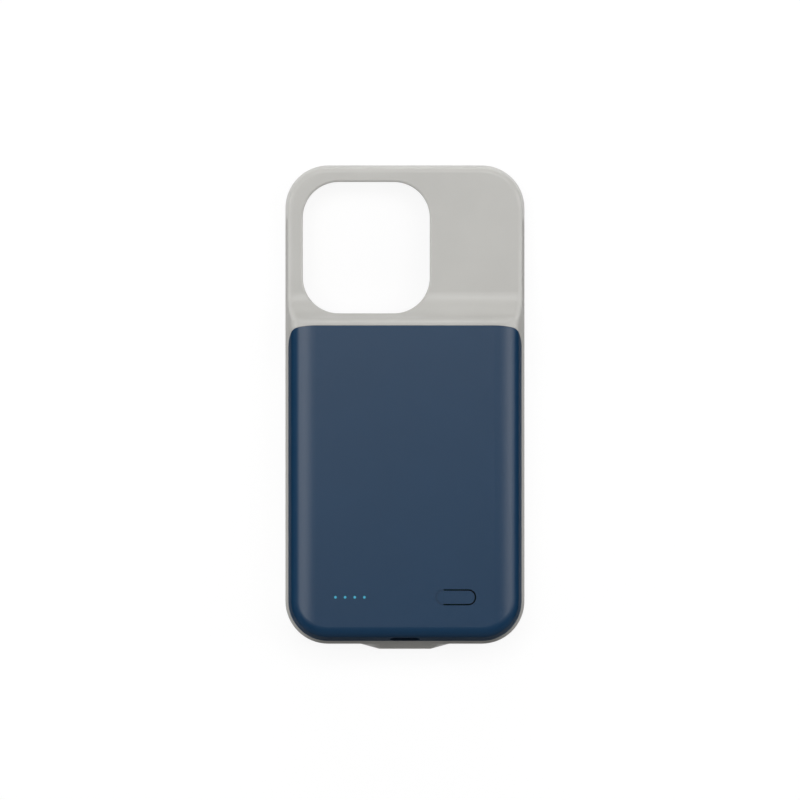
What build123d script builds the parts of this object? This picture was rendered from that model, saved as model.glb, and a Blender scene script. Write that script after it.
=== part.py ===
"""Battery charging case: a soft frame that holds a phone, with a battery under a hard cover on its back.

Sizes are millimetres. The case lies on its front lip, so +Z points out of its back and +Y towards its
camera end. The origin is the middle of the footprint, on the plane of the front lip.
"""

import os
from math import asin, atan, cos, degrees, radians, sin, tan

from build123d import *

# Phone that the case is made for
phone_width = 70.6
phone_length = 146.6
phone_depth = 8.25
phone_corner = 10.9
phone_gap = 0.2

# Walls of the soft frame
wall = 2.45
lip_height = 1.2
lip_reach = 1.7
lip_round = 0.5
front_round = 1.4
back_plate = 2.35
draft_start = 8.2
draft_angle = 14.0
edge_round = 1.8

# Hump over the battery, and the ramp that leads up to it
hump_rise = 6.8
hump_round = 3.5
crown_flat = 56.6
crown_radius = 20.0
skin = 1.6
ramp_foot_over_camera = 6.8
ramp_radius = 8.7
ramp_angle = 66.0
cover_below_ramp_foot = 10.6
seam_angle = 55.0
seam_radius = 4.5
seam_gap = 0.1

# Cut-out for the cameras
camera_width = 40.3
camera_length = 41.7
camera_corner = 11.4
camera_from_side = 5.53
camera_from_top = 5.3
camera_round = 0.7
camera_wall = 2.0

# Chin at the bottom end
chin_base = 28.8
chin_tip = 16.3
chin_reach = 1.7
chin_low = 1.6
chin_high = 10.9
chin_sink = 0.1
chin_root = 9.0

# Slots for the phone's side keys and for its loudspeaker
key_slot_height = 4.4
key_slot_round = 0.5
action_slot_length = 11.0
action_slot_below_top = 36.0
volume_slot_length = 27.0
volume_slot_below_top = 58.0
side_slot_length = 22.0
side_slot_below_top = 54.0
speaker_slot_length = 11.0
speaker_slot_height = 2.2
speaker_slot_from_middle = 22.0

# Tray that closes the battery room, and its screws
tray_thickness = 1.2
tray_gap = 0.2
tray_lap = 2.0
flange = 1.05
flange_reach = 1.3
bay_corner = 3.0
rib_width = 0.8
rib_height = 0.6
boss_radius = 1.9
boss_gap = 0.1
screw_first = 14.0
screw_from_room_end = 12.9
screw_rows = 3
screw_radius = 0.8
screw_fit = 0.03
screw_bite = 3.0
screw_head_radius = 1.45
screw_head_height = 0.6
screw_head_gap = 0.1
screw_recess = 0.05
drive_length = 1.7
drive_width = 0.35
drive_depth = 0.3

# Circuit board and its screws
board_side_gap = 0.8
board_length = 18.9
board_corner = 8.0
board_thickness = 1.0
board_lift = 0.75
board_end_gap = 0.3
post_radius = 2.0
board_screw_radius = 0.7
board_screw_head_radius = 1.3
board_screw_head_height = 0.8
board_screw_bite = 1.3
board_screw_from_side = 3.0
board_screw_from_top_edge = 4.5

# Button, lights and switch
control_row_above_bottom = 14.85
button_hinge_from_side = 25.71
button_nose_from_side = 17.89
button_half_width = 2.09
button_slot = 0.45
hinge_slit = 0.03
hinge_web = 0.5
hinge_groove = 0.7
hinge_mark_depth = 0.2
nub_radius = 0.8
nub_gap = 0.05
switch_from_side = 18.25
switch_width = 4.5
switch_height = 2.8
plunger_radius = 1.1
plunger_gap = 0.05
plunger_reach = 1.2
plunger_depth = 1.2
plunger_travel_room = 0.45
light_count = 4
light_pitch = 3.06
light_middle_from_side = 20.5
light_radius = 0.47
light_gap = 0.02
light_recess = 0.04
guide_length = 12.6
guide_width = 2.6
guide_bar = 1.0
guide_leg_radius = 0.9
led_length = 1.6
led_width = 0.9
led_height = 0.7
led_gap = 0.15

# Charge port
port_shell_width = 8.94
port_shell_height = 3.2
port_shell_wall = 0.3
port_depth = 7.3
port_back = 1.4
port_inset = 2.6
port_clearance = 0.25
port_tongue_width = 6.7
port_tongue_height = 0.7
port_tongue_length = 4.6
port_fit = 0.02
contact_count = 12
contact_pitch = 0.5
contact_width = 0.26
contact_height = 0.05
port_contact_length = 3.6
plug_contact_length = 4.4

# Plug for the phone
plug_width = 8.25
plug_height = 2.4
plug_wall = 0.25
plug_reach = 6.65
plug_slot_width = 6.4
plug_slot_height = 0.85
plug_slot_depth = 5.2
plug_fit = 0.02
retainer_width = 14.0
retainer_low = 2.6
retainer_thickness = 0.9
retainer_gap = 0.1
plug_board_width = 12.0
plug_board_thickness = 0.8
plug_board_low = 3.0
plug_board_high = 8.2
flex_width = 8.0
flex_thickness = 0.2
flex_gap = 0.5
flex_floor = 0.3
flex_overlap = 0.8
flex_bend = 0.45
flex_pad_length = 3.4

# Battery cell
cell_side_gap = 0.55
cell_end_gap = 2.9
cell_depth = 5.2
cell_corner = 2.5
cell_round = 1.2
cell_from_board = 5.0
terrace_width = 50.0
terrace_length = 4.0
terrace_depth = 0.5
tape_width = 9.0
tape_length = 60.0
tape_pitch = 30.0
tape_thickness = 0.2
foam_width = 40.0
foam_length = 56.0
foam_corner = 3.0
tab_width = 4.0
tab_thickness = 0.15
tab_pitch = 26.0
tab_lead = 1.5
tab_drop = 1.1
tab_pad = 2.4

# Parts on the circuit board, each placed from the middle of the board
controller_size = 4.0
controller_height = 0.85
controller_x = -5.6
boost_size = 3.0
boost_height = 0.8
boost_x = 2.6
chip_row = 4.2
chip_chamfer = 0.3
inductor_size = 4.4
inductor_height = 2.2
inductor_round = 0.9
inductor_x = 10.0
inductor_row = -4.0
capacitor_count = 6
capacitor_pitch = 2.4
capacitor_length = 1.6
capacitor_width = 0.8
capacitor_height = 0.8
capacitor_x = -1.5
capacitor_row = -0.9

# Outline and levels that follow from the sizes above
case_width = phone_width + 2 * (phone_gap + wall)
case_length = phone_length + 2 * (phone_gap + wall)
case_corner = phone_corner + phone_gap + wall
pocket_width = case_width - 2 * wall
pocket_length = case_length - 2 * wall
pocket_corner = case_corner - wall
half_length = case_length / 2
middle_y = chin_reach / 2
floor_level = lip_height + phone_depth + phone_gap
back_level = floor_level + back_plate
top_level = back_level + hump_rise
tray_top = floor_level + tray_thickness
seam_level = tray_top + flange
room_top = top_level - skin
phone_axis = lip_height + (phone_depth + phone_gap) / 2

# Places along the case, measured from its middle
camera_x = camera_from_side + camera_width / 2 - case_width / 2
camera_y = half_length - camera_from_top - camera_length / 2
camera_end_y = camera_y - camera_length / 2
room_end_y = camera_end_y - camera_wall
ramp_foot_y = camera_end_y + ramp_foot_over_camera
ramp_slope_rise = hump_rise - ramp_radius * (1 - cos(radians(ramp_angle)))
ramp_run = ramp_radius * sin(radians(ramp_angle)) + ramp_slope_rise / tan(radians(ramp_angle))
crest_y = ramp_foot_y - ramp_run
cover_top_y = ramp_foot_y - cover_below_ramp_foot
window_top_y = room_end_y - flange_reach
tray_top_y = window_top_y + tray_lap
pocket_end_y = -pocket_length / 2

# Button, switch and lights, in one row across the case
control_y = control_row_above_bottom - half_length
button_hinge_x = case_width / 2 - button_hinge_from_side
button_nose_x = case_width / 2 - button_nose_from_side
switch_x = case_width / 2 - switch_from_side
light_middle_x = light_middle_from_side - case_width / 2

# Screws of the tray
boss_x = pocket_width / 2 - flange_reach - boss_gap - boss_radius
boss_inner_x = boss_x - boss_radius
screw_first_y = screw_first - half_length
screw_pitch = (room_end_y - screw_from_room_end - screw_first_y) / (screw_rows - 1)
screw_points = [
    (column * boss_x, screw_first_y + row * screw_pitch)
    for column in (-1, 1)
    for row in range(screw_rows)
]
screw_head_low = floor_level + screw_recess
screw_seat = screw_head_low + screw_head_height

# Levels and places on the circuit board
board_bottom = tray_top + board_lift
board_top = board_bottom + board_thickness
board_width = 2 * (boss_inner_x - board_side_gap)
board_screw_x = board_width / 2 - board_screw_from_side
board_end_y = pocket_end_y + flange_reach + board_end_gap
board_y = board_end_y + board_length / 2
board_top_y = board_end_y + board_length
board_points = [
    (column * board_screw_x, board_top_y - board_screw_from_top_edge) for column in (-1, 1)
]
port_level = board_top + port_shell_height / 2
port_mouth_y = port_inset - half_length
switch_top = board_top + switch_height
plunger_top = switch_top + plunger_reach
led_top = board_top + led_height

# Levels and places of the battery cell
cell_low = tray_top + tape_thickness
cell_top = cell_low + cell_depth
cell_width = 2 * (boss_inner_x - cell_side_gap)
cell_end_y = board_top_y + cell_from_board
cell_length = room_end_y - cell_end_gap - cell_end_y
cell_y = cell_end_y + cell_length / 2
terrace_end_y = cell_end_y - terrace_length
terrace_low = cell_low + (cell_depth - terrace_depth) / 2

# Places of the plug behind the bottom wall of the pocket
plug_seat_y = pocket_end_y - retainer_thickness
flex_channel = flex_width / 2 + flex_gap

os.makedirs("parts", exist_ok=True)


def keep(piece, name):
    """Label a finished piece and write it as its own file."""
    piece.part.label = name
    export_step(piece.part, f"parts/{name}.step")


def level(height):
    """Plane across the case at a height, drawn along X and Y from the middle of the case."""
    return Plane((0, middle_y, height))


def side(x=0.0):
    """Plane along the case at x, drawn along Y and Z and facing +X."""
    return Plane((x, middle_y, 0), x_dir=(0, 1, 0), z_dir=(1, 0, 0))


def end(y=0.0):
    """Plane across the case at y, drawn along X and Z and facing the bottom end."""
    return Plane((0, middle_y + y, 0), x_dir=(1, 0, 0), z_dir=(0, -1, 0))


def border(faces):
    """Edges around a patch of faces: those that only one of the faces has."""
    edges = [edge for face in faces for edge in face.edges()]
    return [edge for edge in edges if sum(edge.is_same(other) for other in edges) == 1]


def crown_section(inset):
    """Section of the hump: flat in the middle, with a slow fall towards both sides."""
    radius = crown_radius - inset
    top = top_level - inset
    fall = degrees(asin((case_width - crown_flat) / 2 / radius))
    with BuildSketch(end()) as section:
        with BuildLine():
            right = CenterArc((crown_flat / 2, top - radius), radius, 90, -fall)
            left = CenterArc((-crown_flat / 2, top - radius), radius, 90, fall)
            Line(right @ 0, left @ 0)
            Polyline(right @ 1, (case_width / 2, 0), (-case_width / 2, 0), left @ 1)
        make_face()
    return section.sketch


def ramp_zone(inset):
    """Side view of what lies above the upper back and in front of the ramp."""
    radius = ramp_radius + inset
    low = back_level - inset
    with BuildSketch(side()) as zone:
        with BuildLine():
            foot = CenterArc((ramp_foot_y, low + radius), radius, -90, -ramp_angle)
            slope = PolarLine(foot @ 1, 2 * hump_rise, 180 - ramp_angle)
            Polyline(slope @ 1, (case_length, (slope @ 1).Y), (case_length, low), foot @ 0)
        make_face()
    return zone.sketch


def cover_zone(shift):
    """Side view of what belongs to the cover: above the seam, behind the slope that ends it."""
    run = (top_level - seam_level) / tan(radians(seam_angle))
    foot_y = cover_top_y - shift - run
    beyond = 2 * hump_rise
    with BuildSketch(side()) as zone:
        with BuildLine():
            seam = FilletPolyline(
                (-case_length, seam_level),
                (foot_y, seam_level),
                (cover_top_y - shift + beyond / tan(radians(seam_angle)), top_level + beyond),
                radius=seam_radius,
            )
            Polyline(seam @ 1, (-case_length, top_level + beyond), seam @ 0)
        make_face()
    return zone.sketch


def bay(height, inset, top_y):
    """Outline of the battery bay at a height: the pocket's lower end, cut off square at top_y."""
    with BuildSketch(level(height)) as outline:
        RectangleRounded(pocket_width - 2 * inset, pocket_length - 2 * inset, pocket_corner - inset)
        with Locations((0, top_y)):
            Rectangle(case_width, case_length, align=(Align.CENTER, Align.MAX), mode=Mode.INTERSECT)
        fillet(outline.vertices().group_by(Axis.Y)[-1], bay_corner)
    return outline.sketch


def circles(height, points, radius):
    """Circles of one radius around points of the plan, at a height."""
    with BuildSketch(level(height)) as dots:
        with Locations(*points):
            Circle(radius)
    return dots.sketch


def hump_form(inset):
    """Upper half of the case as a solid: drafted walls, rounded hump, ramp and flat upper back."""
    with BuildPart() as form:
        with BuildSketch(level(draft_start)):
            RectangleRounded(case_width - 2 * inset, case_length - 2 * inset, case_corner - inset)
        extrude(amount=top_level - inset - draft_start, taper=draft_angle)
        extrude(crown_section(inset), amount=case_length, both=True, mode=Mode.INTERSECT)
        crown = form.faces().filter_by(lambda face: face.normal_at().Z > sin(radians(60)))
        fillet(border(crown), hump_round - inset)
        extrude(ramp_zone(inset), amount=case_width, both=True, mode=Mode.SUBTRACT)
        if inset == 0:
            upper = form.faces().filter_by(lambda face: face.normal_at().Z > sin(radians(20)))
            beyond_crest = middle_y + crest_y - 0.01
            fillet(border(face for face in upper if face.bounding_box().min.Y > beyond_crest), edge_round)
    return form.part


def button_outline(start_x, half_width):
    """Plan of the button's tongue: straight from its hinge, with a round nose."""
    with BuildSketch(level(top_level)) as outline:
        with Locations((start_x, control_y)):
            Rectangle(button_nose_x - start_x, 2 * half_width, align=(Align.MIN, Align.CENTER))
        with Locations((button_nose_x, control_y)):
            Circle(half_width)
    return outline.sketch


def light_points():
    """Places of the indicator lights in the plan."""
    first = light_middle_x - light_pitch * (light_count - 1) / 2
    return [(first + number * light_pitch, control_y) for number in range(light_count)]


# Outer form of the whole case, with the chin
with BuildPart() as case_form:
    with BuildSketch(level(0)):
        RectangleRounded(case_width, case_length, case_corner)
    extrude(amount=draft_start)
    add(hump_form(0))
    fillet(case_form.edges().group_by(Axis.Z)[0], front_round)
    chin_fall = chin_reach + chin_sink + (chin_high - draft_start) * tan(radians(draft_angle))
    with BuildSketch(level(chin_low)):
        with BuildLine():
            Polyline(
                (-chin_base / 2, chin_root - half_length),
                (-chin_base / 2, -half_length),
                (-chin_tip / 2, -half_length - chin_reach),
                (chin_tip / 2, -half_length - chin_reach),
                (chin_base / 2, -half_length),
                (chin_base / 2, chin_root - half_length),
                close=True,
            )
        make_face()
    extrude(amount=chin_high - chin_low, taper=degrees(atan(chin_fall / (chin_high - chin_low))))

# Room for the battery: the inside of the hump, kept clear of the camera cut-out
with BuildPart() as battery_room:
    add(hump_form(skin))
    with BuildSketch(level(0)):
        Rectangle(2 * case_width, 2 * case_length)
    extrude(amount=seam_level, mode=Mode.SUBTRACT)
    with BuildSketch(level(0)):
        with Locations((camera_x + camera_width / 2 + camera_wall, room_end_y)):
            Rectangle(case_width, case_length, align=(Align.MAX, Align.MIN))
    extrude(amount=top_level, mode=Mode.SUBTRACT)

# Soft frame
with BuildPart() as soft_frame:
    add(case_form.part)
    extrude(cover_zone(0), amount=case_width, both=True, mode=Mode.SUBTRACT)
    add(battery_room.part, mode=Mode.SUBTRACT)
    with BuildSketch(level(lip_height)):
        RectangleRounded(pocket_width, pocket_length, pocket_corner)
    extrude(amount=phone_depth + phone_gap, mode=Mode.SUBTRACT)
    with BuildSketch(level(0)):
        RectangleRounded(
            pocket_width - 2 * lip_reach, pocket_length - 2 * lip_reach, pocket_corner - lip_reach
        )
    extrude(amount=lip_height, mode=Mode.SUBTRACT)
    mouth = soft_frame.edges(Select.LAST).filter_by_position(Axis.Z, -0.01, 0.01)
    fillet(mouth, lip_round)
    extrude(bay(floor_level, 0, tray_top_y + tray_gap), amount=tray_thickness, mode=Mode.SUBTRACT)
    extrude(bay(tray_top, flange_reach, window_top_y), amount=flange, mode=Mode.SUBTRACT)
    with BuildSketch(level(floor_level)):
        with Locations((camera_x, camera_y)):
            RectangleRounded(camera_width, camera_length, camera_corner)
    extrude(amount=top_level - floor_level, mode=Mode.SUBTRACT)
    camera_rim = soft_frame.edges(Select.LAST).filter_by(
        lambda edge: edge.bounding_box().min.Z > back_level - 0.01
    )
    fillet(camera_rim, camera_round)
    for slot_side, slot_length, slot_below_top in (
        (1, action_slot_length, action_slot_below_top),
        (1, volume_slot_length, volume_slot_below_top),
        (-1, side_slot_length, side_slot_below_top),
    ):
        with BuildSketch(side(slot_side * pocket_width / 2)):
            with Locations((half_length - slot_below_top, phone_axis)):
                SlotOverall(slot_length, key_slot_height)
        extrude(amount=slot_side * 2 * wall, mode=Mode.SUBTRACT)
        slot_rim = soft_frame.edges(Select.LAST).filter_by(
            lambda edge: abs(edge.center().X) > case_width / 2 - 0.01
        )
        fillet(slot_rim, key_slot_round)
    with BuildSketch(end(pocket_end_y)):
        with Locations((-speaker_slot_from_middle, phone_axis), (speaker_slot_from_middle, phone_axis)):
            SlotOverall(speaker_slot_length, speaker_slot_height)
    extrude(amount=2 * wall, mode=Mode.SUBTRACT)
    with BuildSketch(end(pocket_end_y)):
        with Locations((0, retainer_low - retainer_gap)):
            Rectangle(
                retainer_width + 2 * retainer_gap,
                plug_board_high + 2 * retainer_gap - retainer_low,
                align=(Align.CENTER, Align.MIN),
            )
    extrude(
        amount=retainer_thickness + plug_board_thickness + retainer_gap, mode=Mode.SUBTRACT
    )
    with BuildSketch(end(pocket_end_y)):
        with Locations((0, retainer_low - retainer_gap)):
            Rectangle(
                retainer_width + 2 * retainer_gap,
                floor_level - retainer_low + retainer_gap,
                align=(Align.CENTER, Align.MIN),
            )
        with Locations((0, floor_level)):
            Rectangle(2 * flex_channel, tray_thickness, align=(Align.CENTER, Align.MIN))
    extrude(amount=retainer_thickness, mode=Mode.SUBTRACT)
keep(soft_frame, "soft_frame")

# Hard cover over the battery, with screw bosses inside
with BuildPart() as cover_room:
    add(battery_room.part)
    extrude(circles(seam_level, screw_points, boss_radius), amount=top_level, mode=Mode.SUBTRACT)

with BuildPart() as battery_cover:
    add(hump_form(0))
    extrude(cover_zone(seam_gap), amount=case_width, both=True, mode=Mode.INTERSECT)
    add(cover_room.part, mode=Mode.SUBTRACT)
    extrude(
        circles(seam_level, screw_points, screw_radius + screw_fit), amount=screw_bite, mode=Mode.SUBTRACT
    )
    extrude(circles(top_level, light_points(), light_radius), amount=-2 * skin, mode=Mode.SUBTRACT)
    extrude(
        button_outline(button_hinge_x, button_half_width + button_slot),
        amount=-2 * skin,
        mode=Mode.SUBTRACT,
    )
    with BuildSketch(level(room_top)):
        with Locations((button_hinge_x, control_y)):
            Rectangle(
                hinge_groove, 2 * (button_half_width + button_slot), align=(Align.MAX, Align.CENTER)
            )
    extrude(amount=skin - hinge_web, mode=Mode.SUBTRACT)
    with BuildSketch(level(top_level)):
        with Locations((button_hinge_x, control_y)):
            Circle(button_half_width + button_slot)
            Circle(button_half_width, mode=Mode.SUBTRACT)
            Rectangle(
                case_width, case_width, align=(Align.MIN, Align.CENTER), mode=Mode.SUBTRACT
            )
    extrude(amount=-hinge_mark_depth, mode=Mode.SUBTRACT)
    with BuildSketch(end(-half_length)):
        with Locations((0, port_level)):
            SlotOverall(port_shell_width + 2 * port_clearance, port_shell_height + 2 * port_clearance)
    extrude(amount=-port_depth, mode=Mode.SUBTRACT)
keep(battery_cover, "battery_cover")

# Button: a tongue in the cover that bends at a thin web
with BuildPart() as power_button:
    extrude(button_outline(button_hinge_x + hinge_slit, button_half_width), amount=-skin)
    with BuildSketch(level(room_top)):
        with Locations((button_hinge_x, control_y)):
            Rectangle(hinge_groove, 2 * button_half_width, align=(Align.MIN, Align.CENTER))
    extrude(amount=skin - hinge_web, mode=Mode.SUBTRACT)
    extrude(circles(plunger_top + nub_gap, [(switch_x, control_y)], nub_radius), until=Until.NEXT)
keep(power_button, "power_button")

# Clear light guide: a bar under the cover with a tip and a leg for each light
with BuildPart() as light_guide:
    with BuildSketch(level(room_top - guide_bar)):
        with Locations((light_middle_x, control_y)):
            RectangleRounded(guide_length, guide_width, guide_width / 4)
    extrude(amount=guide_bar)
    extrude(
        circles(room_top, light_points(), light_radius - light_gap), amount=skin - light_recess
    )
    extrude(
        circles(led_top + led_gap, light_points(), guide_leg_radius),
        amount=room_top - guide_bar - led_top - led_gap,
    )
keep(light_guide, "light_guide")

# Tray at the bottom of the pocket
with BuildPart() as inner_tray:
    extrude(bay(floor_level, tray_gap, tray_top_y), amount=tray_thickness)
    extrude(circles(tray_top, screw_points, boss_radius), amount=flange)
    extrude(circles(tray_top, board_points, post_radius), amount=board_lift)
    extrude(
        bay(tray_top, flange_reach + tray_gap, window_top_y - tray_gap)
        - bay(tray_top, flange_reach + tray_gap + rib_width, window_top_y - tray_gap - rib_width),
        amount=rib_height,
    )
    extrude(
        circles(floor_level, screw_points, screw_head_radius + screw_head_gap),
        amount=screw_seat - floor_level,
        mode=Mode.SUBTRACT,
    )
    extrude(
        circles(floor_level, screw_points, screw_radius + screw_fit),
        amount=seam_level - floor_level,
        mode=Mode.SUBTRACT,
    )
    extrude(
        circles(board_top - board_thickness, board_points, board_screw_radius + screw_fit),
        amount=-board_screw_bite,
        mode=Mode.SUBTRACT,
    )
    with BuildSketch(level(floor_level + flex_floor)):
        with Locations((0, pocket_end_y)):
            Rectangle(
                2 * flex_channel,
                flange_reach + tray_gap + rib_width + flex_gap,
                align=(Align.CENTER, Align.MIN),
            )
    extrude(amount=tray_thickness + rib_height, mode=Mode.SUBTRACT)
keep(inner_tray, "inner_tray")

# Screws that hold the tray, the frame and the cover together
with BuildPart() as tray_screws:
    extrude(circles(screw_head_low, screw_points, screw_head_radius), amount=screw_head_height)
    extrude(
        circles(screw_seat, screw_points, screw_radius), amount=seam_level + screw_bite - screw_seat
    )
    with BuildSketch(level(screw_head_low)):
        with Locations(*screw_points):
            Rectangle(drive_length, drive_width)
            Rectangle(drive_width, drive_length)
    extrude(amount=drive_depth, mode=Mode.SUBTRACT)
keep(tray_screws, "tray_screws")

# Battery cell in its pouch, with the flat seam that its tabs come out of
with BuildPart() as battery_cell:
    with BuildSketch(level(cell_low)):
        with Locations((0, cell_y)):
            RectangleRounded(cell_width, cell_length, cell_corner)
    extrude(amount=cell_depth)
    fillet(battery_cell.edges().group_by(Axis.Z)[-1], cell_round)
    fillet(battery_cell.edges().group_by(Axis.Z)[0], cell_round)
    with BuildSketch(level(terrace_low)):
        with Locations((0, terrace_end_y)):
            Rectangle(terrace_width, terrace_length + cell_round, align=(Align.CENTER, Align.MIN))
    extrude(amount=terrace_depth)
keep(battery_cell, "battery_cell")

with BuildPart() as cell_tape:
    with BuildSketch(level(tray_top)):
        with Locations((-tape_pitch / 2, cell_y), (tape_pitch / 2, cell_y)):
            Rectangle(tape_width, tape_length)
    extrude(amount=tape_thickness)
keep(cell_tape, "cell_tape")

with BuildPart() as cell_foam:
    with BuildSketch(level(cell_top)):
        with Locations((0, cell_y)):
            RectangleRounded(foam_width, foam_length, foam_corner)
    extrude(amount=room_top - cell_top)
keep(cell_foam, "cell_foam")

# Tabs that step down from the cell's seam to the circuit board
for tab_name, tab_x in (("cell_tab_negative", -tab_pitch / 2), ("cell_tab_positive", tab_pitch / 2)):
    with BuildPart() as cell_tab:
        with BuildSketch(side(tab_x)):
            with BuildLine():
                upper = terrace_low + terrace_depth / 2
                lower = board_top + tab_thickness / 2
                Polyline(
                    (terrace_end_y - tab_thickness / 2, upper),
                    (terrace_end_y - tab_lead, upper),
                    (terrace_end_y - tab_lead - tab_drop, lower),
                    (terrace_end_y - tab_lead - tab_drop - tab_pad, lower),
                )
                offset(amount=tab_thickness / 2, side=Side.BOTH, kind=Kind.INTERSECTION)
            make_face()
        extrude(amount=tab_width / 2, both=True)
    keep(cell_tab, tab_name)

# Circuit board and its screws
with BuildPart() as main_board:
    with BuildSketch(level(board_bottom)) as board_outline:
        with Locations((0, board_y)):
            Rectangle(board_width, board_length)
        fillet(board_outline.vertices().group_by(Axis.Y)[0], board_corner)
        with Locations(*board_points):
            Circle(board_screw_radius + screw_fit, mode=Mode.SUBTRACT)
    extrude(amount=board_thickness)
keep(main_board, "main_board")

with BuildPart() as board_screws:
    extrude(circles(board_top, board_points, board_screw_head_radius), amount=board_screw_head_height)
    extrude(
        circles(board_top, board_points, board_screw_radius),
        amount=screw_fit - board_thickness - board_screw_bite,
    )
keep(board_screws, "board_screws")

# Charge port: a metal shell with a contact tongue inside
with BuildPart() as charge_port_shell:
    with BuildSketch(end(port_mouth_y)):
        with Locations((0, port_level)):
            SlotOverall(port_shell_width, port_shell_height)
    extrude(amount=-port_depth)
    with BuildSketch(end(port_mouth_y)):
        with Locations((0, port_level)):
            SlotOverall(port_shell_width - 2 * port_shell_wall, port_shell_height - 2 * port_shell_wall)
    extrude(amount=port_shell_wall - port_depth, mode=Mode.SUBTRACT)
keep(charge_port_shell, "charge_port_shell")

with BuildPart() as charge_port_tongue:
    with BuildSketch(end(port_mouth_y + port_depth - port_shell_wall)):
        with Locations((0, port_level)):
            SlotOverall(
                port_shell_width - 2 * (port_shell_wall + port_fit),
                port_shell_height - 2 * (port_shell_wall + port_fit),
            )
    extrude(amount=port_back)
    with BuildSketch(end(port_mouth_y + port_depth - port_shell_wall - port_back)):
        with Locations((0, port_level)):
            Rectangle(port_tongue_width, port_tongue_height)
    extrude(amount=port_tongue_length)
    tongue_tip = charge_port_tongue.faces().sort_by(Axis.Y)[0]
    chamfer(tongue_tip.edges().filter_by(Axis.X), port_tongue_height / 4)
keep(charge_port_tongue, "charge_port_tongue")

# Contacts on both faces of the tongue
with BuildPart() as charge_port_contacts:
    for face in (-1, 1):
        with BuildSketch(end(port_mouth_y + port_depth - port_shell_wall - port_back)):
            with Locations((0, port_level + face * (port_tongue_height + contact_height) / 2)):
                with GridLocations(contact_pitch, 0, contact_count, 1):
                    Rectangle(contact_width, contact_height)
        extrude(amount=port_contact_length)
keep(charge_port_contacts, "charge_port_contacts")

# Switch under the button
with BuildPart() as switch_body:
    with BuildSketch(level(board_top)):
        with Locations((switch_x, control_y)):
            RectangleRounded(switch_width, switch_width, switch_width / 10)
    extrude(amount=switch_height)
    extrude(
        circles(switch_top, [(switch_x, control_y)], plunger_radius + plunger_gap),
        amount=-plunger_depth - plunger_travel_room,
        mode=Mode.SUBTRACT,
    )
keep(switch_body, "switch_body")

with BuildPart() as switch_plunger:
    extrude(
        circles(switch_top - plunger_depth, [(switch_x, control_y)], plunger_radius),
        amount=plunger_depth + plunger_reach,
    )
    chamfer(switch_plunger.edges().group_by(Axis.Z)[-1], plunger_radius / 5)
keep(switch_plunger, "switch_plunger")

# Indicator lights on the board
for number, light_point in enumerate(light_points(), start=1):
    with BuildPart() as indicator_led:
        with BuildSketch(level(board_top)):
            with Locations(light_point):
                Rectangle(led_width, led_length)
        extrude(amount=led_height / 2)
        with BuildSketch(level(board_top + led_height / 2)):
            with Locations(light_point):
                Rectangle(led_width, led_length - led_height / 2)
        extrude(amount=led_height / 2)
    keep(indicator_led, f"indicator_led_{number}")

# Chips, coil and capacitors of the charging circuit
for chip_name, chip_x, chip_size, chip_height in (
    ("charge_controller", controller_x, controller_size, controller_height),
    ("boost_converter", boost_x, boost_size, boost_height),
):
    with BuildPart() as chip:
        with BuildSketch(level(board_top)) as chip_outline:
            with Locations((chip_x, board_y + chip_row)):
                Rectangle(chip_size, chip_size)
            first_pin = chip_outline.vertices().group_by(Axis.X)[0].sort_by(Axis.Y)[-1]
            chamfer(first_pin, chip_chamfer)
        extrude(amount=chip_height)
    keep(chip, chip_name)

with BuildPart() as power_inductor:
    with BuildSketch(level(board_top)):
        with Locations((inductor_x, board_y + inductor_row)):
            RectangleRounded(inductor_size, inductor_size, inductor_round)
    extrude(amount=inductor_height)
    chamfer(power_inductor.edges().group_by(Axis.Z)[-1], inductor_round / 4)
keep(power_inductor, "power_inductor")

with BuildPart() as ceramic_capacitors:
    with BuildSketch(level(board_top)):
        with Locations((capacitor_x, board_y + capacitor_row)):
            with GridLocations(capacitor_pitch, 0, capacitor_count, 1):
                Rectangle(capacitor_width, capacitor_length)
    extrude(amount=capacitor_height)
keep(ceramic_capacitors, "ceramic_capacitors")

# Plug that stands in the pocket for the phone
with BuildPart() as plug_shell:
    with BuildSketch(end(plug_seat_y)):
        with Locations((0, phone_axis)):
            SlotOverall(plug_width, plug_height)
            SlotOverall(plug_width - 2 * plug_wall, plug_height - 2 * plug_wall, mode=Mode.SUBTRACT)
    extrude(amount=-retainer_thickness - plug_reach)
keep(plug_shell, "plug_shell")

with BuildPart() as plug_core:
    with BuildSketch(end(plug_seat_y)):
        with Locations((0, phone_axis)):
            SlotOverall(plug_width - 2 * (plug_wall + plug_fit), plug_height - 2 * (plug_wall + plug_fit))
    extrude(amount=-retainer_thickness - plug_reach)
    with BuildSketch(end(pocket_end_y + plug_reach)):
        with Locations((0, phone_axis)):
            Rectangle(plug_slot_width, plug_slot_height)
    extrude(amount=plug_slot_depth, mode=Mode.SUBTRACT)
keep(plug_core, "plug_core")

# Contacts on the upper and lower wall of the plug's slot
with BuildPart() as plug_contacts:
    for face in (-1, 1):
        with BuildSketch(end(pocket_end_y + plug_reach - plug_slot_depth)):
            with Locations((0, phone_axis + face * (plug_slot_height - contact_height) / 2)):
                with GridLocations(contact_pitch, 0, contact_count, 1):
                    Rectangle(contact_width, contact_height)
        extrude(amount=-plug_contact_length)
keep(plug_contacts, "plug_contacts")

with BuildPart() as plug_board:
    with BuildSketch(end(plug_seat_y)):
        with Locations((0, plug_board_low)):
            Rectangle(
                plug_board_width, plug_board_high - plug_board_low, align=(Align.CENTER, Align.MIN)
            )
    extrude(amount=plug_board_thickness)
keep(plug_board, "plug_board")

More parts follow.
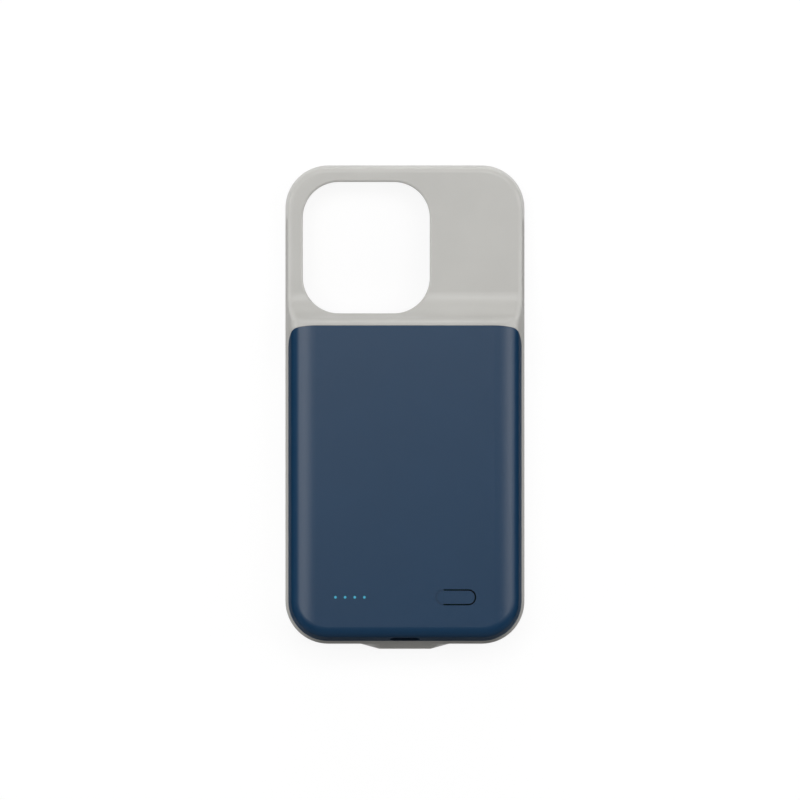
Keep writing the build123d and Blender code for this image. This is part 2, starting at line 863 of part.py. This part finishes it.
with BuildPart() as plug_retainer:
    with BuildSketch(end(pocket_end_y)):
        with Locations((0, retainer_low)):
            Rectangle(
                retainer_width,
                floor_level - retainer_gap - retainer_low,
                align=(Align.CENTER, Align.MIN),
            )
        with Locations((0, phone_axis)):
            SlotOverall(plug_width + 2 * plug_fit, plug_height + 2 * plug_fit, mode=Mode.SUBTRACT)
    extrude(amount=retainer_thickness)
    with BuildSketch(end(plug_seat_y)):
        with Locations((0, plug_board_high - flex_overlap - retainer_gap)):
            Rectangle(2 * flex_channel, floor_level, align=(Align.CENTER, Align.MIN))
    extrude(amount=-flex_thickness - retainer_gap, mode=Mode.SUBTRACT)
keep(plug_retainer, "plug_retainer")

# Flat cable from the plug's board, over the tray's edge, to the underside of the circuit board
with BuildPart() as flex_cable:
    leg_y = plug_seat_y + flex_thickness / 2
    step_level = floor_level + flex_floor + flex_thickness
    rise_y = pocket_end_y + flange_reach + board_end_gap
    pad_level = board_bottom - flex_thickness / 2
    with BuildSketch(side()):
        with BuildLine():
            FilletPolyline(
                (leg_y, plug_board_high - flex_overlap),
                (leg_y, step_level),
                (rise_y, step_level),
                (rise_y, pad_level),
                (rise_y + flex_pad_length, pad_level),
                radius=flex_bend,
            )
            offset(amount=flex_thickness / 2, side=Side.BOTH)
        make_face()
    extrude(amount=flex_width / 2, both=True)
keep(flex_cable, "flex_cable")
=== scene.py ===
"""Looks of the battery charging case: materials, studio light and a camera straight above its back."""

import math

import bpy
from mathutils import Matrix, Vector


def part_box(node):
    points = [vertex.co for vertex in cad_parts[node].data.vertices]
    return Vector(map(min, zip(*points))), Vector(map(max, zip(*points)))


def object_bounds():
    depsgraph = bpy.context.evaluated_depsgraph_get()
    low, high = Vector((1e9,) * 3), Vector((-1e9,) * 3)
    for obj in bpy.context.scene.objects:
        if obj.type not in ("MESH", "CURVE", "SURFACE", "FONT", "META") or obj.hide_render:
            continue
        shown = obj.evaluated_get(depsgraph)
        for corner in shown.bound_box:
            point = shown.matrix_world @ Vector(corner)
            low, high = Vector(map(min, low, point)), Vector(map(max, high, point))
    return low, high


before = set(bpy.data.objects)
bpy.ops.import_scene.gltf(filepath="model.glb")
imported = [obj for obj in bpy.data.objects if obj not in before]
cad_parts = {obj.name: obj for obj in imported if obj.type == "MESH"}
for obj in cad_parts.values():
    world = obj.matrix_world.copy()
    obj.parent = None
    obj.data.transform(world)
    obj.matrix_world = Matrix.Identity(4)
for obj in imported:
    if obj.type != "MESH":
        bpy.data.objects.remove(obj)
cad_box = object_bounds()

# Lengths are in metres, apart from the camera's sensor and the grains in the table of mouldings
MILLIMETRE = 0.001

# Camera: straight above the case, framed as the photograph is
IMAGE_PIXELS = 800
METRES_PER_PIXEL = 0.0003176
CASE_MIDDLE_PIXEL = (404.95, 404.55)
CASE_MIDDLE_Y = 0.00085
OUTLINE_LEVEL = 0.008
CAMERA_DISTANCE = 6.0
SENSOR_WIDTH = 36.0

# Lamps: direction across and along the case in degrees, width and length, distance, and the radiance
# that a mirror would show. The soft boxes light all of the case and show in its reflections.
SOFT_BOXES = {
    "overhead": ((0, 12.5), (0.35, 0.32), 0.8, 0.88),
    "top": ((0, 26), (0.8, 0.34), 1.1, 3.35),
    "left": ((-23, 6), (0.38, 0.6), 1.1, 2.85),
    "left_low": ((-42, 6), (0.2, 0.6), 1.1, 1.15),
    "right": ((32, 9), (0.43, 0.6), 1.1, 2.9),
    "right_low": ((56, 10), (0.45, 0.7), 1.1, 1.4),
}
# Fills that are kept out of reflections
FILLS = {
    "fill_back": ((0, 76), (0.9, 0.36), 1.1, 4.0),
    "fill_left": ((-80, 0), (0.3, 1.0), 1.1, 5.8),
    "fill_right": ((80, 0), (0.3, 1.0), 1.1, 3.4),
    "fill_end": ((0, -50), (0.8, 0.6), 1.1, 1.0),
}
# Strips that only the soft frame mirrors, along its long edges and on the crest
RIMS = {
    "rim_left": ((-66, 0), (0.35, 1.0), 1.1, 3.5),
    "rim_right": ((70, 0), (0.35, 1.0), 1.1, 2.0),
    "rim_crest": ((0, 30), (0.8, 0.2), 1.1, 1.0),
}
# Low strips close to the case that light only the outer edges of the soft frame and its chin
EDGES = {
    "edge_top": ((0, 88.2), (0.1, 0.006), 0.11, 3.4),
    "edge_left": ((-88, 0), (0.006, 0.15), 0.07, 1.5),
    "edge_right": ((88, 0), (0.006, 0.15), 0.07, 0.8),
    "edge_end": ((0, -88), (0.02, 0.004), 0.087, 0.55),
}
# Even dim light from the whole room
ROOM_COLOUR = (1.0, 1.0, 1.0, 1.0)
ROOM_LIGHT = 0.04

# Floor: a hair under the case, how much light it bounces, and how much of its white is its own glow
FLOOR_SIZE = 20.0
FLOOR_LEVEL = -0.0001
FLOOR_COLOUR = (0.14, 0.14, 0.14, 1.0)
FLOOR_GLOW = 0.885

# Low cards along both sides and around the lower end, seen only in reflections
FLAG_SIDE_GAP = 0.004
FLAG_END_GAP = 0.0008
FLAG_CORNER = 0.017
FLAG_STEPS = 12
FLAG_HEIGHT = 0.02
FLAG_UPPER_HEIGHT = 0.008
FLAG_SIDE_COLOUR = (0.03, 0.03, 0.03, 1.0)
FLAG_END_COLOUR = (0.2, 0.2, 0.2, 1.0)

# Levels between which noise spends most of its range
NOISE_LOW = 0.3
NOISE_HIGH = 0.7

# Mouldings: clouds of colour, and how far the grain changes the roughness
CLOUD_SIZE = 18 * MILLIMETRE
CLOUD_SHADES = (0.975, 1.025)
GRAIN_ROUGHNESS = 0.04

# Metals: drawing marks, how far they change colour and roughness, and how fine they are along each axis
MARK_SIZE = 0.25 * MILLIMETRE
MARK_DEPTH = 0.004 * MILLIMETRE
MARK_SHADES = (0.85, 1.08)
MARK_ROUGHNESS = 0.07
NO_RUN = (1, 1, 1)
RUN_ACROSS = (1, 8, 1)
RUN_ALONG = (8, 1, 8)

# Row of four lights, with painted shade and a painted glow of the light on the cover in a ring around each
LIGHT_PITCH = 3.06 * MILLIMETRE
LIGHT_RADIUS = 0.45 * MILLIMETRE
RING_RADIUS = 0.9 * MILLIMETRE
RING_PAINTED_SHADE = 0.25
RING_PAINTED_GLOW = 0.07

# Tips of the light guide: the bright middle, what is left of the glow at the rim, and the haze inside
TIP_MIDDLE = 0.1 * MILLIMETRE
TIP_DEPTH = 0.2 * MILLIMETRE
TIP_RIM_SHARE = 0.45
HAZE_SIZE = 0.3 * MILLIMETRE
HAZE_SHADE = 0.85
HAZE_ROUGHNESS = (0.2, 0.4)

# Cover: its reflections, and painted shade on the walls of the port mouth with its narrow soft border
COVER_SPECULAR = 0.64
PORT_CLEARANCE = 0.25 * MILLIMETRE
PORT_BORDER = 0.02 * MILLIMETRE
PORT_MOUTH_PAINTED_SHADE = 0.3

# Mouldings: display colour, roughness, size and depth of the grain in millimetres, and the nodes
MOULDINGS = {
    "frame_tpu": ((190, 189, 185), 0.35, 0.22, 0.006, ["soft_frame"]),
    "tray_plastic": ((56, 57, 60), 0.55, 0.2, 0.006, ["inner_tray", "plug_retainer"]),
    "black_plastic": (
        (28, 28, 30), 0.45, 0.12, 0.004,
        ["charge_port_tongue", "plug_core", "switch_body", "switch_plunger", "charge_controller",
         "boost_converter"],
    ),
    "board_green": ((24, 82, 52), 0.35, 0.3, 0.003, ["main_board", "plug_board"]),
    "ferrite": ((78, 78, 80), 0.7, 0.1, 0.008, ["power_inductor"]),
    "ceramic": ((150, 118, 88), 0.5, 0.1, 0.004, ["ceramic_capacitors"]),
    "foam": ((40, 40, 42), 0.9, 0.4, 0.05, ["cell_foam"]),
    "tape": ((220, 218, 205), 0.6, 0.5, 0.01, ["cell_tape"]),
    "flex_film": ((150, 92, 32), 0.35, 0.4, 0.003, ["flex_cable"]),
    "led_body": (
        (228, 232, 226), 0.3, 0.1, 0.003,
        ["indicator_led_1", "indicator_led_2", "indicator_led_3", "indicator_led_4"],
    ),
}
# Metals: display colour, roughness, run of the drawing marks, and the nodes
METALS = {
    "cell_pouch": ((205, 206, 208), 0.38, NO_RUN, ["battery_cell"]),
    "nickel": ((190, 186, 176), 0.35, RUN_ACROSS, ["cell_tab_positive", "cell_tab_negative"]),
    "port_steel": ((175, 176, 178), 0.3, RUN_ALONG, ["charge_port_shell", "plug_shell"]),
    "screw_steel": ((70, 70, 72), 0.35, NO_RUN, ["tray_screws", "board_screws"]),
    "gold": ((222, 184, 105), 0.28, RUN_ALONG, ["charge_port_contacts", "plug_contacts"]),
}


def linear(red, green, blue):
    """Linear colour from 8-bit display values, by the usual display curve."""

    def decode(value):
        share = value / 255
        return share / 12.92 if share <= 0.04045 else ((share + 0.055) / 1.055) ** 2.4

    return (decode(red), decode(green), decode(blue), 1.0)


def shade(colour, share):
    """A colour made lighter or darker by a share."""
    return tuple(min(1.0, part * share) for part in colour[:3]) + (1.0,)


class Nodes:
    """A new material with no nodes yet, and the means to add and link them."""

    def __init__(self, name):
        self.material = bpy.data.materials.new(name)
        self.material.use_nodes = True
        self.tree = self.material.node_tree
        self.tree.nodes.clear()

    def add(self, kind):
        """A new node."""
        return self.tree.nodes.new("ShaderNode" + kind)

    def feed(self, target, value):
        """Link an output to an input, or set the input to a constant."""
        if isinstance(value, bpy.types.NodeSocket):
            self.tree.links.new(value, target)
        else:
            target.default_value = value

    def show(self, surface):
        """Make a shader's output the surface of the material."""
        self.feed(self.add("OutputMaterial").inputs["Surface"], surface)

    def number(self, operation, first, second=0.0):
        """Result of a sum on outputs or constants."""
        node = self.add("Math")
        node.operation = operation
        self.feed(node.inputs[0], first)
        self.feed(node.inputs[1], second)
        return node.outputs["Value"]


class Shader(Nodes):
    """A procedural material: one principled shader and the nodes that feed it."""

    def __init__(self, name):
        super().__init__(name)
        self.surface = self.add("BsdfPrincipled")
        self.show(self.surface.outputs["BSDF"])
        self.place = self.add("TexCoord").outputs["Object"]

    def put(self, socket, value):
        """Set a socket of the principled shader to a constant, or link an output to it."""
        self.feed(self.surface.inputs[socket], value)

    def linked(self, socket):
        """The output that feeds a socket of the principled shader."""
        return self.surface.inputs[socket].links[0].from_socket

    def noise(self, size, detail=2.0, roughness=0.5, stretch=NO_RUN):
        """Noise whose features are about size metres across, finer along an axis by its stretch."""
        mapping = self.add("Mapping")
        mapping.inputs["Scale"].default_value = stretch
        self.feed(mapping.inputs["Vector"], self.place)
        texture = self.add("TexNoise")
        texture.inputs["Scale"].default_value = 1 / size
        texture.inputs["Detail"].default_value = detail
        texture.inputs["Roughness"].default_value = roughness
        self.feed(texture.inputs["Vector"], mapping.outputs["Vector"])
        return texture.outputs["Fac"]

    def axes(self):
        """The three coordinates of the place."""
        split = self.add("SeparateXYZ")
        self.feed(split.inputs["Vector"], self.place)
        return [split.outputs[axis] for axis in "XYZ"]

    def reach(self, first, second):
        """Length of a vector from its two parts."""
        squares = self.number("MULTIPLY", first, first), self.number("MULTIPLY", second, second)
        return self.number("SQRT", self.number("ADD", *squares))

    def between(self, factor, low, high, start=NOISE_LOW, stop=NOISE_HIGH):
        """Blend of two colours by a factor that runs from start to stop."""
        ramp = self.add("ValToRGB")
        first, last = ramp.color_ramp.elements
        first.position = start
        first.color = low
        last.position = stop
        last.color = high
        self.feed(ramp.inputs["Fac"], factor)
        return ramp.outputs["Color"]

    def span(self, factor, low, high, start=NOISE_LOW, stop=NOISE_HIGH):
        """Number from low to high as a factor runs from start to stop."""
        node = self.add("MapRange")
        node.inputs["From Min"].default_value = start
        node.inputs["From Max"].default_value = stop
        node.inputs["To Min"].default_value = low
        node.inputs["To Max"].default_value = high
        self.feed(node.inputs["Value"], factor)
        return node.outputs["Result"]

    def bump(self, height, depth):
        """Relief of a height field, depth metres deep."""
        node = self.add("Bump")
        node.inputs["Distance"].default_value = depth
        self.feed(node.inputs["Height"], height)
        return node.outputs["Normal"]


def moulded(name, colour, roughness, grain, depth, specular=0.5):
    """Moulded plastic or rubber: faint clouds of colour, a fine spark-eroded grain and uneven gloss."""
    shader = Shader(name)
    clouds = shader.noise(CLOUD_SIZE, detail=3)
    texture = shader.noise(grain, detail=4, roughness=0.6)
    dark, pale = (shade(colour, share) for share in CLOUD_SHADES)
    shader.put("Base Color", shader.between(clouds, dark, pale))
    shader.put("Roughness", shader.span(texture, roughness - GRAIN_ROUGHNESS, roughness + GRAIN_ROUGHNESS))
    shader.put("Specular IOR Level", specular)
    shader.put("Normal", shader.bump(texture, depth))
    return shader


def metal(name, colour, roughness, run):
    """Bare or plated metal with fine marks, drawn out along one direction where it has a run."""
    shader = Shader(name)
    marks = shader.noise(MARK_SIZE, detail=4, stretch=run)
    dark, pale = (shade(colour, share) for share in MARK_SHADES)
    shader.put("Base Color", shader.between(marks, dark, pale))
    shader.put("Metallic", 1.0)
    shader.put("Roughness", shader.span(marks, roughness - MARK_ROUGHNESS, roughness + MARK_ROUGHNESS))
    shader.put("Normal", shader.bump(marks, MARK_DEPTH))
    return shader


def from_nearest_light(shader):
    """Distance across the back from the middle of the nearest light in the row of four."""
    low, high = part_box("light_guide")
    x, y, _ = shader.axes()
    across = shader.number("ABSOLUTE", shader.number("SUBTRACT", x, (low.x + high.x) / 2))
    across = shader.number("ABSOLUTE", shader.number("SUBTRACT", across, LIGHT_PITCH))
    across = shader.number("SUBTRACT", across, LIGHT_PITCH / 2)
    return shader.reach(across, shader.number("SUBTRACT", y, (low.y + high.y) / 2))


def from_port_middle(shader):
    """Distance from the middle line of the round-ended charge port, seen from the lower end."""
    low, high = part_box("charge_port_shell")
    x, _, z = shader.axes()
    straight = (high.x - low.x - high.z + low.z) / 2
    beyond = shader.number("SUBTRACT", shader.number("ABSOLUTE", x), straight)
    return shader.reach(
        shader.number("MAXIMUM", beyond, 0.0), shader.number("SUBTRACT", z, (low.z + high.z) / 2)
    )


def cover_plastic(name, colour, roughness, grain, depth, light):
    """Moulded cover with painted shade and a painted glow in a ring around each light, and painted shade
    on the walls of the port mouth.
    """
    shader = moulded(name, colour, roughness, grain, depth, specular=COVER_SPECULAR)
    low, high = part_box("charge_port_shell")
    mouth = (high.z - low.z) / 2 + PORT_CLEARANCE
    # Painted shade: the walls of the port mouth are darkened, and made rough so that they show no glints
    inside = shader.span(
        from_port_middle(shader), 1.0, 0.0, mouth + PORT_BORDER, mouth + 2 * PORT_BORDER
    )
    # Painted shade and a painted glow of the light on the cover, in a ring around each light
    ring = shader.span(from_nearest_light(shader), 1.0, 0.0, LIGHT_RADIUS, RING_RADIUS)
    dimmed = shader.add("HueSaturation")
    value = shader.number(
        "MULTIPLY",
        shader.span(inside, 1.0, PORT_MOUTH_PAINTED_SHADE, 0.0, 1.0),
        shader.span(ring, 1.0, RING_PAINTED_SHADE, 0.0, 1.0),
    )
    shader.feed(dimmed.inputs["Value"], value)
    shader.feed(dimmed.inputs["Color"], shader.linked("Base Color"))
    shader.put("Base Color", dimmed.outputs["Color"])
    shader.put("Roughness", shader.number("MAXIMUM", shader.linked("Roughness"), inside))
    shader.put("Emission Color", light)
    shader.put("Emission Strength", shader.span(ring, 0.0, RING_PAINTED_GLOW, 0.0, 1.0))
    return shader


def lit_guide(name, colour, light, glow):
    """Clear moulding that glows where the light leaves it, most in the middle of each tip."""
    shader = Shader(name)
    tip_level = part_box("light_guide")[1].z
    distance = from_nearest_light(shader)
    middle = shader.span(distance, glow, TIP_RIM_SHARE * glow, TIP_MIDDLE, LIGHT_RADIUS)
    tip = shader.span(shader.axes()[2], 0.0, 1.0, tip_level - TIP_DEPTH, tip_level)
    haze = shader.noise(HAZE_SIZE)
    shader.put("Base Color", shader.between(haze, shade(colour, HAZE_SHADE), colour))
    shader.put("Roughness", shader.span(haze, *HAZE_ROUGHNESS))
    shader.put("Emission Color", light)
    shader.put("Emission Strength", shader.number("MULTIPLY", middle, tip))
    return shader


def dress(names, shader):
    """Give CAD nodes one material."""
    for name in names:
        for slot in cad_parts[name].material_slots:
            slot.material = shader.material


def dress_case():
    """Make the materials and give each to its nodes."""
    for name, (colour, roughness, grain, depth, names) in MOULDINGS.items():
        dress(names, moulded(name, linear(*colour), roughness, grain * MILLIMETRE, depth * MILLIMETRE))
    for name, (colour, roughness, run, names) in METALS.items():
        dress(names, metal(name, linear(*colour), roughness, run))
    light_colour = linear(85, 190, 222)
    cover_blue = cover_plastic(
        "cover_blue",
        colour=linear(18, 54, 84),
        roughness=0.32,
        grain=0.16 * MILLIMETRE,
        depth=0.004 * MILLIMETRE,
        light=light_colour,
    )
    dress(["battery_cover", "power_button"], cover_blue)
    light_cyan = lit_guide("light_cyan", colour=linear(40, 100, 126), light=light_colour, glow=0.62)
    dress(["light_guide"], light_cyan)


def add_object(name, data):
    """A new object in the scene."""
    added = bpy.data.objects.new(name, data)
    bpy.context.scene.collection.objects.link(added)
    return added


def area_lamp(name, direction, size, distance, radiance):
    """Lamp that faces the case from a direction, with the radiance that a mirror would show."""
    lamp = bpy.data.lights.new(name, "AREA")
    lamp.shape = "RECTANGLE"
    lamp.size, lamp.size_y = size
    lamp.energy = radiance * math.pi * size[0] * size[1]
    lamp_object = add_object(name, lamp)
    across, along = (math.radians(angle) for angle in direction)
    lamp_object.location = (
        math.sin(across) * math.cos(along) * distance,
        math.sin(along) * distance,
        math.cos(across) * math.cos(along) * distance,
    )
    lamp_object.rotation_euler = (-along, across, 0)
    return lamp_object


def make_lights():
    """Soft boxes and fills for the whole case, and strips that reach only its soft frame."""
    for name, settings in SOFT_BOXES.items():
        area_lamp(name, *settings)
    for name, settings in FILLS.items():
        area_lamp(name, *settings).visible_glossy = False
    soft_only = bpy.data.collections.new("soft_only")
    soft_only.objects.link(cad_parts["soft_frame"])
    for name, settings in RIMS.items():
        rim = area_lamp(name, *settings)
        rim.visible_diffuse = False
        rim.light_linking.receiver_collection = soft_only
    for name, settings in EDGES.items():
        edge = area_lamp(name, *settings)
        edge.visible_camera = False
        edge.light_linking.receiver_collection = soft_only


def make_floor():
    """Pale floor: white to the eye and in reflections, with the shadow of the case kept on it."""
    half = FLOOR_SIZE / 2
    corners = [(-half, -half), (half, -half), (half, half), (-half, half)]
    mesh = bpy.data.meshes.new("floor")
    mesh.from_pydata([(x, y, FLOOR_LEVEL) for x, y in corners], [], [(0, 1, 2, 3)])
    floor = add_object("floor", mesh)
    look = Nodes("floor")
    paint = look.add("BsdfDiffuse")
    paint.inputs["Color"].default_value = FLOOR_COLOUR
    path = look.add("LightPath").outputs
    mirrored = look.number("MAXIMUM", path["Is Glossy Ray"], path["Is Transmission Ray"])
    seen = look.number("MAXIMUM", path["Is Camera Ray"], mirrored)
    glow = look.add("Emission")
    look.feed(glow.inputs["Strength"], look.number("MULTIPLY", seen, FLOOR_GLOW))
    both = look.add("AddShader")
    look.feed(both.inputs[0], paint.outputs["BSDF"])
    look.feed(both.inputs[1], glow.outputs["Emission"])
    look.show(both.outputs["Shader"])
    mesh.materials.append(look.material)


def flag_line(side_x, end_y, upper_y):
    """Points with heights along the cards, from the upper right round the lower end to the upper left."""
    crest_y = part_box("battery_cover")[1].y
    line = [
        (side_x, upper_y, FLAG_UPPER_HEIGHT),
        (side_x, crest_y, FLAG_UPPER_HEIGHT),
        (side_x, crest_y, FLAG_HEIGHT),
    ]
    for step in range(FLAG_STEPS + 1):
        turn = math.radians(90 * step / FLAG_STEPS)
        x = side_x - FLAG_CORNER * (1 - math.cos(turn))
        y = end_y + FLAG_CORNER * (1 - math.sin(turn))
        line.append((x, y, FLAG_HEIGHT))
    return line + [(-x, y, top) for x, y, top in reversed(line)]


def make_flags():
    """Low grey cards beside the case, seen only in its reflections, that give the cover dark edges."""
    low, high = cad_box
    end_y = low[1] - FLAG_END_GAP
    line = flag_line(high[0] + FLAG_SIDE_GAP, end_y, high[1] - FLAG_CORNER)
    points = [(x, y, z) for x, y, top in line for z in (0.0, top)]
    faces = [(2 * n, 2 * n + 2, 2 * n + 3, 2 * n + 1) for n in range(len(line) - 1)]
    mesh = bpy.data.meshes.new("flags")
    mesh.from_pydata(points, [], faces)
    flags = add_object("flags", mesh)
    for name, colour in (("flag_side", FLAG_SIDE_COLOUR), ("flag_end", FLAG_END_COLOUR)):
        material = bpy.data.materials.new(name)
        material.use_nodes = True
        card = material.node_tree.nodes["Principled BSDF"]
        card.inputs["Base Color"].default_value = colour
        card.inputs["Roughness"].default_value = 1.0
        mesh.materials.append(material)
    for face in mesh.polygons:
        face.material_index = int(face.center.y < end_y + FLAG_CORNER / 2)
    flags.visible_camera = False
    flags.visible_diffuse = False
    flags.visible_transmission = False
    flags.visible_shadow = False


def make_room():
    """Even dim light from the whole room."""
    world = bpy.data.worlds.new("room")
    bpy.context.scene.world = world
    world.use_nodes = True
    background = world.node_tree.nodes["Background"]
    background.inputs["Color"].default_value = ROOM_COLOUR
    background.inputs["Strength"].default_value = ROOM_LIGHT


def make_camera():
    """Camera straight above the back of the case."""
    camera = bpy.data.cameras.new("camera")
    camera.sensor_width = SENSOR_WIDTH
    camera.lens = SENSOR_WIDTH * CAMERA_DISTANCE / (IMAGE_PIXELS * METRES_PER_PIXEL)
    camera_object = add_object("camera", camera)
    off_x = (CASE_MIDDLE_PIXEL[0] - IMAGE_PIXELS / 2) * METRES_PER_PIXEL
    off_y = (IMAGE_PIXELS / 2 - CASE_MIDDLE_PIXEL[1]) * METRES_PER_PIXEL
    camera_object.location = (-off_x, CASE_MIDDLE_Y - off_y, OUTLINE_LEVEL + CAMERA_DISTANCE)
    bpy.context.scene.camera = camera_object


dress_case()
make_floor()
make_room()
make_lights()
make_flags()
make_camera()
bpy.context.scene.view_settings.view_transform = "Standard"
